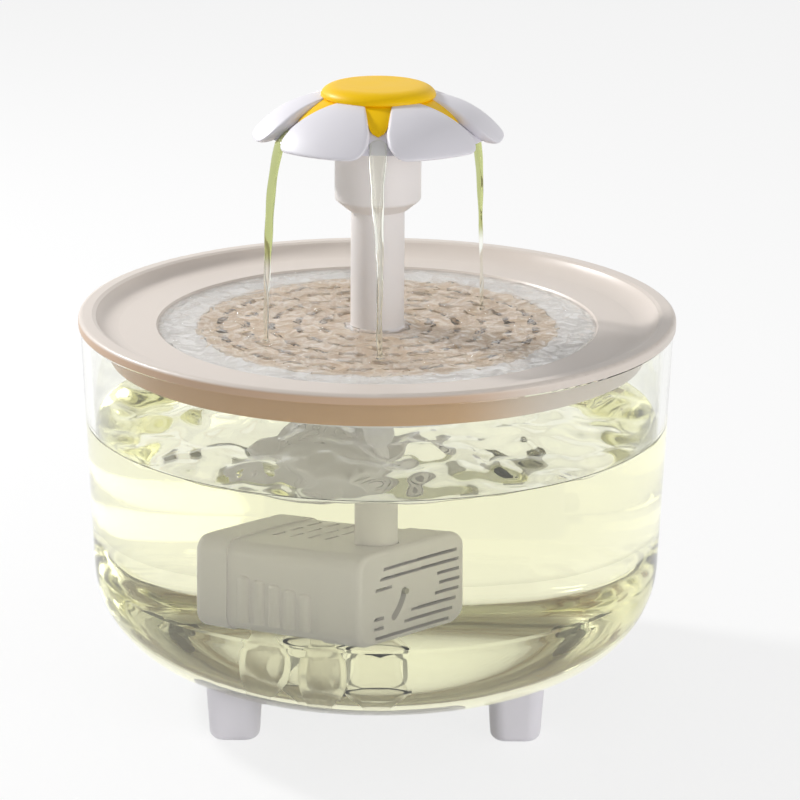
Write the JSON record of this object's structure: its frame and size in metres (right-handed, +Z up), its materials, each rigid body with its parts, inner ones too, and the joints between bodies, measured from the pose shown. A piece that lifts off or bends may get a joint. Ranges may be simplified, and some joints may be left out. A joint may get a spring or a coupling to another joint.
{
  "type": "pet water fountain",
  "caption": "Clear round drinking bowl on feet with a lift-off filter tray, a riser with a flower-shaped spout, and a submersible pump.",
  "frame": {"origin": "on the fountain's axis, in the plane of the foot pads' undersides", "axes": "+Z up along the riser; -Y is the front, where one gap between two petals points; the cable notch is at +Y"},
  "size_m": [0.185, 0.185, 0.1953],
  "materials": {
    "clear_plastic": "clear polished PET",
    "tray_plastic": "satin moulded ABS, warm white",
    "grid_plastic": "satin moulded ABS, sand",
    "filter_felt": "white needled felt",
    "filter_carbon": "activated carbon granules",
    "spout_plastic": "satin moulded ABS, warm white",
    "petal_plastic": "smooth moulded ABS, white",
    "centre_plastic": "smooth moulded ABS, egg-yolk yellow",
    "pump_plastic": "satin moulded ABS, white",
    "lever_plastic": "satin moulded ABS, grey",
    "impeller_plastic": "moulded acetal",
    "tube_plastic": "satin tube, white",
    "foot_plastic": "satin moulded ABS, white",
    "pad_rubber": "grey thermoplastic rubber",
    "cup_rubber": "milky soft PVC",
    "seal_rubber": "black rubber",
    "gland_rubber": "grey rubber",
    "shaft_steel": "ground stainless steel",
    "magnet_ferrite": "sintered ferrite",
    "core_steel": "stacked electrical steel",
    "coil_copper": "enamelled copper wire",
    "board_laminate": "green circuit board laminate"
  },
  "bodies": {
    "base": {"bowl": "clear_plastic", "foot_front_left": "foot_plastic", "foot_front_right": "foot_plastic", "foot_back_left": "foot_plastic", "foot_back_right": "foot_plastic", "foot_pad_front_left": "pad_rubber", "foot_pad_front_right": "pad_rubber", "foot_pad_back_left": "pad_rubber", "foot_pad_back_right": "pad_rubber"},
    "tray_body": {"tray": "tray_plastic"},
    "grid_body": {"filter_grid": "grid_plastic"},
    "filter_body": {"filter_felt": "filter_felt", "filter_carbon": "filter_carbon"},
    "riser_body": {"riser": "spout_plastic"},
    "spout_body": {"spout_collar": "spout_plastic", "spout_ring": "seal_rubber", "flower_petals": "petal_plastic"},
    "centre_body": {"flower_centre": "centre_plastic"},
    "pump_body": {"pump_housing": "pump_plastic", "volute_cover": "pump_plastic", "volute_seal_ring": "seal_rubber", "pump_shaft": "shaft_steel", "rear_bush": "seal_rubber", "front_bush": "seal_rubber", "stator_core": "core_steel", "stator_coil": "coil_copper", "circuit_board": "board_laminate", "pump_back_cap": "pump_plastic", "cable_gland": "gland_rubber", "outlet_tube": "tube_plastic", "suction_cup_rear_near": "cup_rubber", "suction_cup_rear_far": "cup_rubber", "suction_cup_front_near": "cup_rubber", "suction_cup_front_far": "cup_rubber"},
    "cover_body": {"pump_front_cover": "pump_plastic"},
    "lever_body": {"flow_lever": "lever_plastic"},
    "rotor_body": {"impeller": "impeller_plastic", "rotor_magnet": "magnet_ferrite"}
  },
  "joints": [
    {"name": "tray_lift", "type": "slide", "parent": "base", "child": "tray_body", "axis": [0, 0, 1], "range_m": [0, 0.12]},
    {"name": "grid_lift", "type": "slide", "parent": "tray_body", "child": "grid_body", "axis": [0, 0, 1], "range_m": [0, 0.024]},
    {"name": "filter_lift", "type": "slide", "parent": "tray_body", "child": "filter_body", "axis": [0, 0, 1], "range_m": [0, 0.012]},
    {"name": "riser_lift", "type": "slide", "parent": "tray_body", "child": "riser_body", "axis": [0, 0, 1], "range_m": [0, 0.035]},
    {"name": "spout_lift", "type": "slide", "parent": "riser_body", "child": "spout_body", "axis": [0, 0, 1], "range_m": [0, 0.025]},
    {"name": "centre_lift", "type": "slide", "parent": "spout_body", "child": "centre_body", "axis": [0, 0, 1], "range_m": [0, 0.02]},
    {"name": "pump_lift", "type": "slide", "parent": "base", "child": "pump_body", "axis": [0, 0, 1], "range_m": [0, 0.048]},
    {"name": "cover_pull", "type": "slide", "parent": "pump_body", "child": "cover_body", "axis": [0.8572, -0.515, 0], "range_m": [0, 0.016]},
    {"name": "lever_turn", "type": "hinge", "parent": "cover_body", "child": "lever_body", "pos_m": [-0.00222, -0.01535, 0.0467], "axis": [-0.8572, 0.515, 0], "range_deg": [0, 33]},
    {"name": "impeller_spin", "type": "hinge", "parent": "pump_body", "child": "rotor_body", "pos_m": [0, 0, 0.0425], "axis": [0.8572, -0.515, 0], "continuous": true}
  ],
  "couplings": [
    {"joint": "pump_lift", "follows": "tray_lift", "ratio": 0.4},
    {"joint": "filter_lift", "follows": "grid_lift", "ratio": 0.5}
  ]
}
